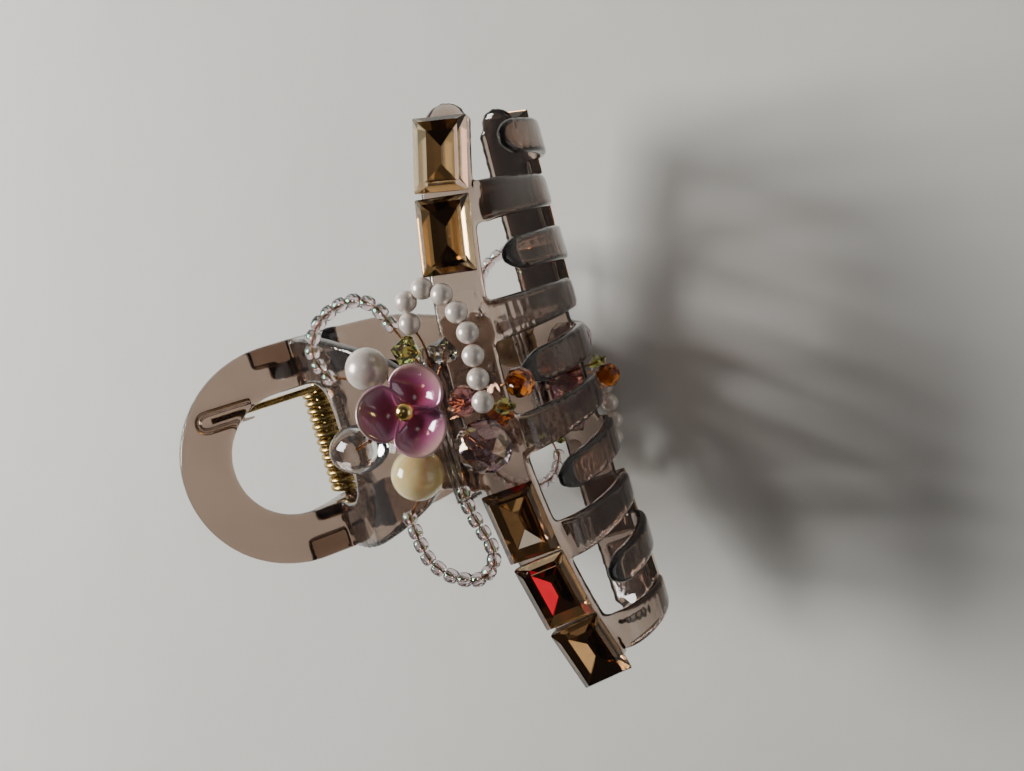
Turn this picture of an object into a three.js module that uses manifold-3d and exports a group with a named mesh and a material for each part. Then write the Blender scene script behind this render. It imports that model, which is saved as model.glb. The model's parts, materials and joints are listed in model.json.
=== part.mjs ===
// Large claw hair clip with ring handles, foiled stones and wired bead clusters.
//
// Both jaws are the same moulding. Each is modelled as it is worn: X runs along the hinge, the
// handle points to +Z, the jaw faces -Y, and the hinge axis passes through the origin. The second
// jaw is the first one turned half a turn about Z. The whole clip is then laid on its back, so
// that the first jaw faces up.

import * as THREE from 'three';
import { mergeVertices } from 'three/addons/utils/BufferGeometryUtils.js';
import Module from 'manifold-3d';

const wasm = await Module();
wasm.setup();

// ---- driving dimensions, in millimetres and radians ------------------------------------------

const degree = Math.PI / 180;
const clearance = 0.35; // between pieces that touch on the real clip
const sunk = 1; // how far one stretch of the moulding reaches into the next

// handle: a flat ring that leans outwards from the hinge
const handleLean = 46 * degree;
const plateThickness = 3.4;
const plateToAxis = 4.6; // hinge axis to the inner face of the handle
const ringOuterRadius = 23.5;
const ringInnerRadius = 13.1;
const ringCentre = 10.2; // hinge axis to the ring's centre, along the handle
const flangeWidth = 4;
const flangeDepth = 3;
const flangeTop = 12.5;

// spring and pin on the hinge axis
const pinRadius = 1.1;
const pinOverhang = 1; // past each outer lug
const wireRadius = 0.72;
const coilRadius = 3; // axis to the middle of the wire
const coilPitch = 1.78;
const coilTurns = 13; // whole turns, with the part of a turn between the legs added
const springLegTop = 25;
const backLegShift = 0.4; // keeps the second leg clear of the coil as it winds

// hinge lugs: each jaw has an inner lug on one side and an outer lug on the other
const lugWidth = 2.7;
const lugRadius = 3.7;
const lugHeight = 11;

// guide on the inner face of the handle that holds the end of the spring leg
const guideLength = 10;
const guideWall = 0.7;
const guideHeight = 1.5;

// neck: a curved plate that narrows from the handle's width down to the bar
const neckThickness = 3;
const neckHalfWidth = 12;
const neckFootHalfWidth = 13.8;
const neckWaist = 13; // middle of the bar to the narrowest place, upwards
const notchBottom = -13.7; // how far the handle's opening runs down into the neck

// bar: arched, drooping and bowing inwards towards both ends
const barHalfLength = 53.3;
const barHeight = 10;
const barThickness = 2.4;
const barReach = 24.4; // hinge axis to the bar's outer face, outwards
const barDrop = 49; // hinge axis to the middle of the bar, downwards
const barBow = 9.4; // how far the ends of the bar come inwards
const barDroop = 4.6; // how far the ends of the bar hang lower
const barTilt = 12 * degree;
const knobRadius = 4.2;
const knobThickness = 2.6;
const slotOffset = 18.3;
const slotLength = 3.6;
const slotHeight = 1.7;

// teeth: the two jaws' teeth take turns along the clip
const toothPitch = 10.7; // from one tooth to its neighbour on the other jaw
const toothPlaces = [-4.5, -2.5, -0.5, 1.5, 3.5]; // in pitches from the middle
const toothWidth = 7.8;
const toothTipWidth = 6.4;
const toothThickness = 2.3;
const toothSag = 4.5; // how far the curve is pulled below the bar
const tipRise = 2; // tooth tip below the bar's lower edge
const tipClearance = 2.6; // tooth tip to the other bar's inner face, in the middle
const tipShortening = 4; // how much shorter the teeth get towards the ends
const rootSlack = 0.3; // extra room between a tooth's root and the bar
const tipRounding = 0.84; // share of a tooth's length where its tip starts to round off
const tipShrink = 0.6; // share of the width that is lost at the very tip

// stones
const stoneLength = 14;
const stoneHeight = 10;
const stoneThickness = 4.2;
const stoneSpacing = 0.7;
const stoneBed = 0.6; // face of the bar to the flat back of a stone
const stoneGirdle = 0.4; // upright band round the widest place
const stoneTable = 0.77; // size of the flat front, as a share of the stone's
const rightStoneStart = 25.8; // middle of the clip to the first stone
const rightStones = 2;
const leftStoneStart = 13.4;
const leftStones = 3;

// beads
const pearlRadius = 2;
const seedRadius = 1.35;
const strandWireRadius = 0.5;
const bindingRadius = 0.45;
const bindingTurns = 3;
const bindingHeight = 6.7; // middle of the bar to its lowest turn, upwards
const bindingSpacing = 1.1;

// ---- materials --------------------------------------------------------------------------------

const finishes = {
  plastic: { color: 0x8d7470, roughness: 0.18, metalness: 0 },
  stone: { color: 0x6d5232, roughness: 0.08, metalness: 0.3 },
  brass: { color: 0xa98a45, roughness: 0.3, metalness: 1 },
  gold: { color: 0xc9a04a, roughness: 0.2, metalness: 1 },
  petal: { color: 0x9c4f86, roughness: 0.12, metalness: 0.1 },
  pearl: { color: 0xe6e1dc, roughness: 0.25, metalness: 0 },
  clear: { color: 0xdcdcd6, roughness: 0.05, metalness: 0 },
  yellow: { color: 0xcfc184, roughness: 0.2, metalness: 0 },
  purple: { color: 0x77606f, roughness: 0.1, metalness: 0 },
  rose: { color: 0x9a5f68, roughness: 0.1, metalness: 0 },
  amber: { color: 0x9a5a14, roughness: 0.08, metalness: 0 },
  green: { color: 0xa3b04a, roughness: 0.08, metalness: 0 },
  seed: { color: 0xcfc6bf, roughness: 0.12, metalness: 0 },
};

function meshOf(name, geometry, finish) {
  const mesh = new THREE.Mesh(geometry, new THREE.MeshStandardMaterial(finishes[finish]));
  mesh.name = name;
  return mesh;
}

// ---- solids -----------------------------------------------------------------------------------

function toSolid(geometry) {
  const bare = geometry.clone();
  bare.deleteAttribute('normal');
  bare.deleteAttribute('uv');
  const merged = mergeVertices(bare, 1e-4);
  return new wasm.Manifold(new wasm.Mesh({
    numProp: 3,
    vertProperties: new Float32Array(merged.attributes.position.array),
    triVerts: new Uint32Array(merged.index.array),
  }));
}

function toGeometry(solid) {
  const mesh = solid.getMesh();
  const geometry = new THREE.BufferGeometry();
  geometry.setAttribute('position', new THREE.BufferAttribute(mesh.vertProperties, 3));
  geometry.setIndex(new THREE.BufferAttribute(mesh.triVerts, 1));
  geometry.computeVertexNormals();
  return geometry;
}

// A closed skin through rings of points, each ring with the same number of points.
function loft(rings) {
  const sides = rings[0].length;
  const positions = rings.flat().flatMap((point) => [point.x, point.y, point.z]);
  const indices = [];
  for (let ring = 0; ring + 1 < rings.length; ring += 1) {
    for (let side = 0; side < sides; side += 1) {
      const next = (side + 1) % sides;
      const a = ring * sides + side;
      const b = ring * sides + next;
      indices.push(a, b, b + sides, a, b + sides, a + sides);
    }
  }
  const lastRing = (rings.length - 1) * sides;
  for (let side = 1; side + 1 < sides; side += 1) {
    indices.push(0, side + 1, side);
    indices.push(lastRing, lastRing + side, lastRing + side + 1);
  }
  const geometry = new THREE.BufferGeometry();
  geometry.setAttribute('position', new THREE.Float32BufferAttribute(positions, 3));
  geometry.setIndex(indices);
  return facingOut(geometry);
}

// Turns every face over when the skin encloses a negative volume.
function facingOut(geometry) {
  const place = geometry.attributes.position;
  const index = geometry.index.array;
  const corners = [new THREE.Vector3(), new THREE.Vector3(), new THREE.Vector3()];
  let volume = 0;
  for (let face = 0; face < index.length; face += 3) {
    corners.forEach((corner, k) => corner.fromBufferAttribute(place, index[face + k]));
    volume += corners[0].dot(corners[1].clone().cross(corners[2]));
  }
  if (volume < 0) {
    for (let face = 0; face < index.length; face += 3) {
      [index[face + 1], index[face + 2]] = [index[face + 2], index[face + 1]];
    }
  }
  geometry.computeVertexNormals();
  return geometry;
}

// A round tube along a curve; radiusAt gives the radius at each of the steps + 1 rings.
function tube(curve, steps, sides, radiusAt) {
  const frames = curve.computeFrenetFrames(steps, false);
  const rings = [];
  for (let step = 0; step <= steps; step += 1) {
    const centre = curve.getPointAt(step / steps);
    const radius = radiusAt(step);
    const ring = [];
    for (let side = 0; side < sides; side += 1) {
      const angle = (2 * Math.PI * side) / sides;
      ring.push(centre.clone()
        .addScaledVector(frames.normals[step], radius * Math.cos(angle))
        .addScaledVector(frames.binormals[step], radius * Math.sin(angle)));
    }
    rings.push(ring);
  }
  return loft(rings);
}

// An outline in the Y-Z plane, extruded along X from x0 to x1.
function extrudeAlongX(shape, x0, x1, segments) {
  const geometry = new THREE.ExtrudeGeometry(shape, {
    depth: x1 - x0,
    bevelEnabled: false,
    curveSegments: segments,
  });
  geometry.translate(0, 0, x0);
  const axes = new THREE.Matrix4().makeBasis(
    new THREE.Vector3(0, 1, 0),
    new THREE.Vector3(0, 0, 1),
    new THREE.Vector3(1, 0, 0),
  );
  return geometry.applyMatrix4(axes);
}

// An outline in the X-Z plane, extruded along Y from y0 to y1.
function extrudeAlongY(shape, y0, y1, segments) {
  const geometry = new THREE.ExtrudeGeometry(shape, {
    depth: y1 - y0,
    bevelEnabled: false,
    curveSegments: segments,
  });
  geometry.rotateX(Math.PI / 2);
  return geometry.translate(0, y1, 0);
}

// ---- the jaw's frame: handle, lugs, spring guide and neck -----------------------------------

const coilLength = coilPitch * coilTurns;
const coilEnd = coilLength / 2 + backLegShift + wireRadius;
const innerLugStart = coilEnd + clearance;
const outerLugStart = innerLugStart + lugWidth + clearance;
const legX = coilLength / 2;
const legToAxis = plateToAxis - wireRadius - clearance;
const handleFoot = 4; // where the outer faces of handle and neck meet, along the handle
const plateFoot = 1; // lower end of the handle's plate, sunk in the neck

// The handle's own frame: Y up the handle and Z outwards, with the hinge axis at the origin.
function handlePlate() {
  const outline = new THREE.Shape();
  outline.moveTo(-ringOuterRadius, plateFoot);
  outline.lineTo(-ringOuterRadius, ringCentre);
  outline.absarc(0, ringCentre, ringOuterRadius, Math.PI, 0, true);
  outline.lineTo(ringOuterRadius, plateFoot);
  outline.lineTo(ringInnerRadius, plateFoot);
  outline.lineTo(ringInnerRadius, ringCentre);
  outline.absarc(0, ringCentre, ringInnerRadius, 0, Math.PI, false);
  outline.lineTo(-ringInnerRadius, plateFoot);
  outline.closePath();
  const plate = new THREE.ExtrudeGeometry(outline, {
    depth: plateThickness,
    bevelEnabled: false,
    curveSegments: 28,
  });
  return toSolid(plate.translate(0, 0, plateToAxis));
}

function flange(side) {
  const height = flangeTop - handleFoot;
  const block = new THREE.BoxGeometry(flangeWidth, height, flangeDepth + sunk);
  const x = side * (ringOuterRadius - flangeWidth / 2);
  const z = plateToAxis + (sunk - flangeDepth) / 2;
  return toSolid(block.translate(x, handleFoot + height / 2, z));
}

// A hinge lug between x0 and x1: a round eye on the axis and a web up to the handle.
function lug(x0, x1) {
  const eye = new THREE.CylinderGeometry(lugRadius, lugRadius, x1 - x0, 16);
  eye.rotateZ(Math.PI / 2);
  eye.translate((x0 + x1) / 2, 0, 0);
  const web = new THREE.Shape([
    new THREE.Vector2(-0.6 * lugRadius, 0.75 * lugRadius),
    new THREE.Vector2(0.85 * lugRadius, -0.45 * lugRadius),
    new THREE.Vector2(lugHeight, plateToAxis + sunk),
    new THREE.Vector2(handleFoot, plateToAxis + sunk),
  ]);
  return toSolid(eye).add(toSolid(extrudeAlongX(web, x0, x1, 1)));
}

function pinHole() {
  const radius = pinRadius + clearance;
  const bore = new THREE.CylinderGeometry(radius, radius, 4 * ringOuterRadius, 16);
  return toSolid(bore.rotateZ(Math.PI / 2));
}

// A U of thin wall round the end of the spring leg, closed at the top.
function springGuide() {
  const inner = wireRadius + backLegShift + clearance;
  const outer = inner + guideWall;
  const top = springLegTop + clearance;
  const bottom = top - guideLength;
  const outline = new THREE.Shape();
  outline.moveTo(-outer, bottom);
  outline.lineTo(-outer, top);
  outline.absarc(0, top, outer, Math.PI, 0, true);
  outline.lineTo(outer, bottom);
  outline.lineTo(inner, bottom);
  outline.lineTo(inner, top);
  outline.absarc(0, top, inner, 0, Math.PI, false);
  outline.lineTo(-inner, bottom);
  outline.closePath();
  const wall = new THREE.ExtrudeGeometry(outline, {
    depth: guideHeight + sunk,
    bevelEnabled: false,
    curveSegments: 4,
  });
  return toSolid(wall.translate(legX, 0, plateToAxis - guideHeight));
}

// The neck's outer face is an arc, in the Y-Z plane, that starts upright at the bar's tilt and
// swings in to the foot of the handle, and through most of the handle's thickness.
function neckArc() {
  const lean = handleLean;
  const reach = plateToAxis + plateThickness;
  const foot = new THREE.Vector2(
    -reach * Math.cos(lean) - handleFoot * Math.sin(lean),
    -reach * Math.sin(lean) + handleFoot * Math.cos(lean),
  );
  const bar = new THREE.Vector2(-barReach, -barDrop);
  const chord = foot.clone().sub(bar);
  const up = new THREE.Vector2(-Math.sin(barTilt), Math.cos(barTilt));
  const inwards = new THREE.Vector2(Math.cos(barTilt), Math.sin(barTilt));
  const turn = Math.acos(chord.clone().normalize().dot(up));
  const radius = chord.length() / (2 * Math.sin(turn));
  const centre = bar.clone().addScaledVector(inwards, radius);
  const start = Math.PI + barTilt;
  const overlap = (0.9 * plateThickness) / radius;
  return { centre, radius, start, end: start - 2 * turn - overlap };
}

const arc = neckArc();

// Distance of the neck's outer face from the hinge plane, at height z.
function neckFace(z) {
  const height = z - arc.centre.y;
  return arc.centre.x - Math.sqrt(arc.radius * arc.radius - height * height);
}

function neckPlate() {
  const band = new THREE.Shape();
  band.absarc(arc.centre.x, arc.centre.y, arc.radius, arc.start, arc.end, true);
  band.absarc(arc.centre.x, arc.centre.y, arc.radius - neckThickness, arc.end, arc.start, false);
  band.closePath();
  const curved = toSolid(extrudeAlongX(band, -ringOuterRadius, ringOuterRadius, 26));
  const barTop = clearance - barDrop + (barHeight / 2) * Math.cos(barTilt)
    + barThickness * Math.sin(barTilt);
  const waist = neckWaist - barDrop;
  const side = [
    new THREE.Vector2(neckFootHalfWidth, barTop),
    new THREE.Vector2(neckHalfWidth, waist),
    new THREE.Vector2(neckHalfWidth * 1.28, waist * 0.855),
    new THREE.Vector2(ringOuterRadius * 0.83, waist * 0.61),
    new THREE.Vector2(ringOuterRadius * 0.96, waist * 0.33),
    new THREE.Vector2(ringOuterRadius, handleFoot),
  ];
  const outline = new THREE.Shape();
  outline.moveTo(-side[0].x, barTop);
  outline.lineTo(side[0].x, barTop);
  outline.splineThru(side.slice(1));
  outline.lineTo(-ringOuterRadius, handleFoot);
  const otherSide = side.slice(0, -1).reverse();
  outline.splineThru(otherSide.map((point) => new THREE.Vector2(-point.x, point.y)));
  outline.closePath();
  const silhouette = toSolid(extrudeAlongY(outline, -2 * barReach, barReach, 16));
  const notch = new THREE.Shape();
  const cornerRadius = ringInnerRadius / 2;
  notch.moveTo(-ringInnerRadius, handleFoot + sunk);
  notch.lineTo(-ringInnerRadius, notchBottom + cornerRadius);
  notch.quadraticCurveTo(-ringInnerRadius, notchBottom, -cornerRadius, notchBottom);
  notch.lineTo(cornerRadius, notchBottom);
  notch.quadraticCurveTo(ringInnerRadius, notchBottom, ringInnerRadius, notchBottom + cornerRadius);
  notch.lineTo(ringInnerRadius, handleFoot + sunk);
  notch.closePath();
  const opening = toSolid(extrudeAlongY(notch, -2 * barReach, barReach, 8));
  return curved.intersect(silhouette).subtract(opening);
}

function inWornFrame(solid) {
  const geometry = toGeometry(solid);
  return toSolid(geometry.rotateX(Math.PI / 2 + handleLean));
}

function jawFrame() {
  const innerLug = lug(-innerLugStart - lugWidth, -innerLugStart);
  const outerLug = lug(outerLugStart, outerLugStart + lugWidth);
  const handle = handlePlate()
    .add(flange(-1))
    .add(flange(1))
    .add(innerLug)
    .add(outerLug)
    .add(springGuide())
    .subtract(pinHole());
  return toGeometry(inWornFrame(handle).add(neckPlate()));
}

// ---- bar --------------------------------------------------------------------------------------

const barOut = new THREE.Vector3(0, -Math.cos(barTilt), -Math.sin(barTilt));
const barUp = new THREE.Vector3(0, -Math.sin(barTilt), Math.cos(barTilt));

// The middle of the bar's outer face at x.
function barFace(x) {
  const share = (x / barHalfLength) ** 2;
  return new THREE.Vector3(x, -barReach + barBow * share, -barDrop - barDroop * share);
}

function barGeometry() {
  const stations = 40;
  const half = barHeight / 2;
  const edge = 0.5;
  const section = [
    [half - edge, 0],
    [half, -edge],
    [half, -barThickness],
    [-half, -barThickness],
    [-half, -edge],
    [edge - half, 0],
  ];
  const rings = [];
  for (let station = 0; station <= stations; station += 1) {
    const x = barHalfLength * ((2 * station) / stations - 1);
    const face = barFace(x);
    rings.push(section.map(([up, out]) => face.clone()
      .addScaledVector(barUp, up)
      .addScaledVector(barOut, out)));
  }
  let bar = toSolid(loft(rings));
  for (const side of [-1, 1]) {
    const knob = new THREE.SphereGeometry(knobRadius, 12, 8);
    knob.scale(1, knobThickness / (2 * knobRadius), 1.05);
    knob.rotateX(barTilt);
    knob.rotateZ(side * Math.atan((2 * barBow) / barHalfLength));
    const middle = barFace(side * barHalfLength).addScaledVector(barOut, -barThickness / 2);
    bar = bar.add(toSolid(knob.translate(middle.x, middle.y, middle.z)));
  }
  const slot = new THREE.CylinderGeometry(slotHeight / 2, slotHeight / 2, 4 * barThickness, 10);
  slot.scale(slotLength / slotHeight, 1, 1);
  const place = barFace(slotOffset).addScaledVector(barUp, slotHeight - barHeight / 2);
  return toGeometry(bar.subtract(toSolid(slot.translate(place.x, place.y, place.z))));
}

// ---- teeth ------------------------------------------------------------------------------------

// A tooth starts far enough under the bar to clear its slanting lower edge.
function toothPath(x) {
  const slant = (2 * barDroop * Math.abs(x)) / barHalfLength ** 2;
  const drop = clearance + (slant * toothWidth) / 2 + rootSlack;
  const root = barFace(x)
    .addScaledVector(barUp, -barHeight / 2 - drop)
    .addScaledVector(barOut, -barThickness / 2);
  const shortening = tipShortening * (x / barHalfLength) ** 2;
  const reach = -barFace(x).y - barThickness - tipClearance - shortening;
  const tip = new THREE.Vector3(x, reach, root.z - tipRise);
  return new THREE.CubicBezierCurve3(
    root,
    new THREE.Vector3(x, root.y + 0.1 * reach, root.z - toothSag),
    new THREE.Vector3(x, 0.35 * reach, root.z - toothSag - tipRise),
    tip,
  );
}

function toothGeometry(x) {
  const path = toothPath(x);
  const across = new THREE.Vector3(1, 0, 0);
  const straight = [0, 0.07, 0.14, 0.21, 0.28, 0.36, 0.44, 0.52, 0.6, 0.68, 0.76];
  const rounded = [0, 0.375, 0.6875, 0.875, 1].map((share) => tipRounding + (1 - tipRounding) * share);
  const places = [...straight, ...rounded];
  const rings = places.map((place) => {
    const rounding = Math.max(0, (place - tipRounding) / (1 - tipRounding));
    const narrowing = 1 - tipShrink * rounding ** 2;
    const centre = path.getPoint(place);
    const normal = path.getTangent(place).cross(across).normalize();
    const width = (toothWidth + (toothTipWidth - toothWidth) * place) * narrowing / 2;
    const depth = toothThickness * Math.max(narrowing, tipShrink) / 2;
    const bevel = 0.5;
    const section = [
      [width - bevel, depth], [width, depth - bevel], [width, bevel - depth], [width - bevel, -depth],
      [bevel - width, -depth], [-width, bevel - depth], [-width, depth - bevel], [bevel - width, depth],
    ];
    return section.map(([side, thick]) => centre.clone()
      .addScaledVector(across, side)
      .addScaledVector(normal, thick));
  });
  return loft(rings);
}

// ---- stones -----------------------------------------------------------------------------------

// The x of the point at a distance along the bar's face from startX, walking towards the end.
function alongBar(startX, distance) {
  const step = 0.05 * Math.sign(startX);
  let x = startX;
  let walked = 0;
  while (walked < distance) {
    walked += barFace(x + step).distanceTo(barFace(x));
    x += step;
  }
  return x;
}

function stoneGeometry() {
  const widest = stoneBed + stoneThickness / 2;
  const layers = [
    [stoneBed, 0.9],
    [widest, 1],
    [widest + stoneGirdle, 1],
    [stoneBed + stoneThickness, stoneTable],
  ];
  return loft(layers.map(([out, scale]) => {
    const halfLength = (stoneLength * scale) / 2;
    const halfHeight = (stoneHeight * scale) / 2;
    return [
      new THREE.Vector3(halfLength, halfHeight, out),
      new THREE.Vector3(-halfLength, halfHeight, out),
      new THREE.Vector3(-halfLength, -halfHeight, out),
      new THREE.Vector3(halfLength, -halfHeight, out),
    ];
  }));
}

function placeOnBar(mesh, x) {
  const face = barFace(x);
  const along = barFace(x + 0.1).sub(barFace(x - 0.1)).normalize();
  const out = barOut.clone().addScaledVector(along, -barOut.dot(along)).normalize();
  const up = out.clone().cross(along).normalize();
  mesh.applyMatrix4(new THREE.Matrix4().makeBasis(along, up, out));
  mesh.position.copy(face);
}

function addStones(jaw, prefix) {
  const row = (start, count, side, label) => {
    for (let k = 0; k < count; k += 1) {
      const distance = stoneLength / 2 + k * (stoneLength + stoneSpacing);
      const stone = meshOf(`${prefix}_stone_${label}_${k + 1}`, stoneGeometry(), 'stone');
      placeOnBar(stone, alongBar(side * start, distance));
      jaw.add(stone);
    }
  };
  row(rightStoneStart, rightStones, 1, 'short_row');
  row(leftStoneStart, leftStones, -1, 'long_row');
}

// ---- bead cluster -----------------------------------------------------------------------------

// Places of beads are given as x, how far the bead's middle stands off the neck, and how far it is
// above the middle of the bar. Below that, the bar's outer face takes the neck's place.
function offNeck([x, off, up]) {
  return new THREE.Vector3(x, neckFace(Math.max(up, 0) - barDrop) - off, up - barDrop);
}

// Routes of bead loops lie in front of the bar: x, outwards from its face, upwards from its middle.
function offBar([x, out, up]) {
  return new THREE.Vector3(x, -barReach - out, up - barDrop);
}

const flowerPlace = offNeck([5.4, 9.98, 8.9]);
const flowerFacing = new THREE.Vector3(0.12, -0.93, -0.34).normalize();
const petalRadius = 5.1;
const petalOffset = 4.3;
const petalLean = 14 * degree;
const eyeHeight = 4.3; // of the gold bead, above the middle of the flower

// Three shallow cups round a common middle, rims forward. Z is the way the flower faces.
function flowerGeometry() {
  const wall = 0.7;
  const cupDepth = 2.4;
  const profile = [];
  const points = 4;
  for (let k = 0; k <= points; k += 1) {
    const share = k / points;
    profile.push(new THREE.Vector2(petalRadius * share, cupDepth * share * share));
  }
  for (let k = points; k >= 0; k -= 1) {
    const share = k / points;
    profile.push(new THREE.Vector2((petalRadius - wall / 2) * share, wall + cupDepth * share * share));
  }
  const hub = new THREE.CylinderGeometry(1.7, 1.3, 2.6, 10);
  let flower = toSolid(hub.rotateX(Math.PI / 2).translate(0, 0, 0.5));
  for (let petal = 0; petal < 3; petal += 1) {
    const cup = new THREE.LatheGeometry(profile, 11);
    cup.rotateX(Math.PI / 2);
    cup.rotateX(petalLean);
    cup.translate(0, petalOffset, 0.2);
    cup.rotateZ((petal * 2 * Math.PI) / 3);
    flower = flower.add(toSolid(cup));
  }
  return toGeometry(flower);
}

function faceOutwards(mesh, place, facing) {
  mesh.quaternion.setFromUnitVectors(new THREE.Vector3(0, 0, 1), facing);
  mesh.position.copy(place);
}

function bead(name, finish, place, radii, columns = 10, rows = 7) {
  const ball = new THREE.SphereGeometry(1, columns, rows);
  ball.scale(...radii);
  const mesh = meshOf(name, ball, finish);
  mesh.position.copy(place);
  return mesh;
}

// Beads on a wire, as one solid: each bead is a waist on the wire and two wide rings.
function strand(points, radius) {
  const route = new THREE.CatmullRomCurve3(points.map(offBar));
  const beads = Math.round(route.getLength() / (2 * radius));
  const shape = [strandWireRadius, radius * 0.97, radius * 0.97];
  return tube(route, beads * shape.length, 6, (step) => shape[step % shape.length]);
}

const pearlRoute = [
  [20, 6.8, 5.8], [23.4, 7.2, 5.4], [25.2, 7.1, 2.6], [24.5, 7.1, -1], [20.7, 7.4, -3.4],
  [16.8, 7.6, -4.8], [12.2, 8, -4.8], [7.8, 8.4, -4.6], [3.6, 8.8, -4.4],
];
const shortSeedRoute = [
  [14.4, 5.6, 25.8], [17.4, 5.6, 27.4], [20.3, 5.6, 27.6], [23.2, 5.6, 26], [25.2, 5.6, 23.6],
  [26.5, 5.6, 20], [26.8, 5.6, 16.8], [26, 5.6, 14], [23.8, 5.6, 11.6], [20.8, 5.6, 10.2],
];
const longSeedRoute = [
  [-14.7, 5.6, 18.3], [-18, 5.6, 18], [-21, 5.6, 17.6], [-24, 5.6, 16.6], [-26.8, 5.6, 13.8],
  [-28.3, 5.6, 10.4], [-28.3, 5.6, 7.2], [-26, 5.6, 4.4], [-22.6, 5.6, 3.8],
  [-19.2, 5.6, 4.8], [-15.6, 5.6, 5.8], [-12, 5.6, 6],
];

// Fine wire wound round the neck to hold the cluster. One turn, as shares of its half sizes.
const bindingTurn = [
  [1, 0], [1, 0.6], [0.96, 1], [0.5, 1], [-0.5, 1], [-0.96, 1], [-1, 0.6],
  [-1, 0], [-1, -0.6], [-0.96, -1], [-0.5, -1], [0.5, -1], [0.96, -1], [1, -0.6],
];

function bindingGeometry() {
  const room = 2 * clearance + bindingRadius;
  const points = [];
  for (let step = 0; step <= bindingTurn.length * bindingTurns; step += 1) {
    const [side, out] = bindingTurn[step % bindingTurn.length];
    const z = bindingHeight - barDrop + (step / bindingTurn.length) * bindingSpacing;
    const middle = neckFace(z) + neckThickness / 2;
    points.push(new THREE.Vector3(
      (neckFootHalfWidth + room) * side,
      middle + (neckThickness / 2 + room) * out,
      z,
    ));
  }
  return tube(new THREE.CatmullRomCurve3(points), 56, 4, () => bindingRadius);
}

function addCluster(jaw, prefix) {
  const flower = meshOf(`${prefix}_flower`, flowerGeometry(), 'petal');
  faceOutwards(flower, flowerPlace, flowerFacing);
  const eye = flowerPlace.clone().addScaledVector(flowerFacing, eyeHeight);
  jaw.add(
    flower,
    bead(`${prefix}_flower_centre`, 'gold', eye, [1.7, 1.7, 1.7]),
    bead(`${prefix}_large_pearl`, 'pearl', offNeck([14.1, 4.51, 18.1]), [4, 4, 4], 14, 10),
    bead(`${prefix}_clear_drop`, 'clear', offNeck([-0.1, 5.37, 25.5]), [4.7, 4.1, 6.2], 12, 8),
    bead(`${prefix}_yellow_bead`, 'yellow', offNeck([-6.8, 5.52, 13.5]), [4.9, 4.9, 4.9], 14, 10),
    bead(`${prefix}_purple_drop`, 'purple', offNeck([-4.6, 5.6, -0.6]), [5.1, 4.9, 5.1]),
    bead(`${prefix}_rose_bead`, 'rose', offNeck([3.9, 3.82, 1.4]), [3, 3, 3]),
    bead(`${prefix}_green_bead`, 'green', offNeck([15.3, 4.38, 8.9]), [3, 3, 3]),
    bead(`${prefix}_small_green_bead`, 'green', offNeck([1.4, 4.2, -5.9]), [1.9, 1.9, 2.2], 8, 6),
    bead(`${prefix}_clear_bead`, 'clear', offNeck([13.5, 3.32, 2.6]), [2.9, 2.9, 2.9]),
    bead(`${prefix}_amber_front_bead`, 'amber', offNeck([4.4, 0.4, -8.6]), [2.8, 2.8, 2.8], 8, 6),
    bead(`${prefix}_amber_rear_bead`, 'amber', offNeck([-1.4, -6.2, 1]), [2.8, 2.8, 2.8], 8, 6),
    meshOf(`${prefix}_pearl_loop`, strand(pearlRoute, pearlRadius), 'pearl'),
    meshOf(`${prefix}_short_seed_loop`, strand(shortSeedRoute, seedRadius), 'seed'),
    meshOf(`${prefix}_long_seed_loop`, strand(longSeedRoute, seedRadius), 'seed'),
    meshOf(`${prefix}_binding_wire`, bindingGeometry(), 'brass'),
  );
}

// ---- hinge pin and torsion spring -------------------------------------------------------------

function pinGeometry() {
  const length = 2 * (outerLugStart + lugWidth + pinOverhang);
  return new THREE.CylinderGeometry(pinRadius, pinRadius, length, 12).rotateZ(Math.PI / 2);
}

// Up the handle, and outwards from the hinge axis to it.
const handleUp = new THREE.Vector3(0, -Math.sin(handleLean), Math.cos(handleLean));
const handleOut = new THREE.Vector3(0, -Math.cos(handleLean), -Math.sin(handleLean));

// A spring leg leaves the coil where the coil passes under the handle.
function legPoints(x) {
  const legEnd = springLegTop - wireRadius;
  const bend = [[0, coilRadius], [2.5, coilRadius + 0.1], [6.5, legToAxis], [12, legToAxis]];
  const stops = [...bend, [legEnd, legToAxis]];
  return stops.map(([along, out]) => new THREE.Vector3(x, 0, 0)
    .addScaledVector(handleUp, along)
    .addScaledVector(handleOut, out));
}

// The coil with the leg that lies on the first jaw's handle. It stops short of the other leg.
function coilGeometry() {
  const stepsPerTurn = 8;
  const wound = 2 * Math.PI * coilTurns + Math.PI - 2 * handleLean;
  const trimmed = (3 * clearance) / coilRadius;
  const steps = Math.round((wound / (2 * Math.PI)) * stepsPerTurn);
  const points = [];
  for (let step = 0; step < steps; step += 1) {
    const angle = (trimmed - wound) * (1 - step / steps);
    points.push(new THREE.Vector3(legX + (coilLength * angle) / wound, 0, 0)
      .addScaledVector(handleOut, coilRadius * Math.cos(angle))
      .addScaledVector(handleUp, coilRadius * Math.sin(angle)));
  }
  points.push(...legPoints(legX));
  return tube(new THREE.CatmullRomCurve3(points), steps + 12, 5, () => wireRadius);
}

function backLegGeometry() {
  return tube(new THREE.CatmullRomCurve3(legPoints(legX + backLegShift)), 10, 6, () => wireRadius);
}

// ---- the clip ---------------------------------------------------------------------------------

function jaw(prefix) {
  const group = new THREE.Group();
  group.add(meshOf(`${prefix}_frame`, jawFrame(), 'plastic'));
  group.add(meshOf(`${prefix}_bar`, barGeometry(), 'plastic'));
  toothPlaces.forEach((place, k) => {
    group.add(meshOf(`${prefix}_tooth_${k + 1}`, toothGeometry(place * toothPitch), 'plastic'));
  });
  addStones(group, prefix);
  addCluster(group, prefix);
  return group;
}

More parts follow.
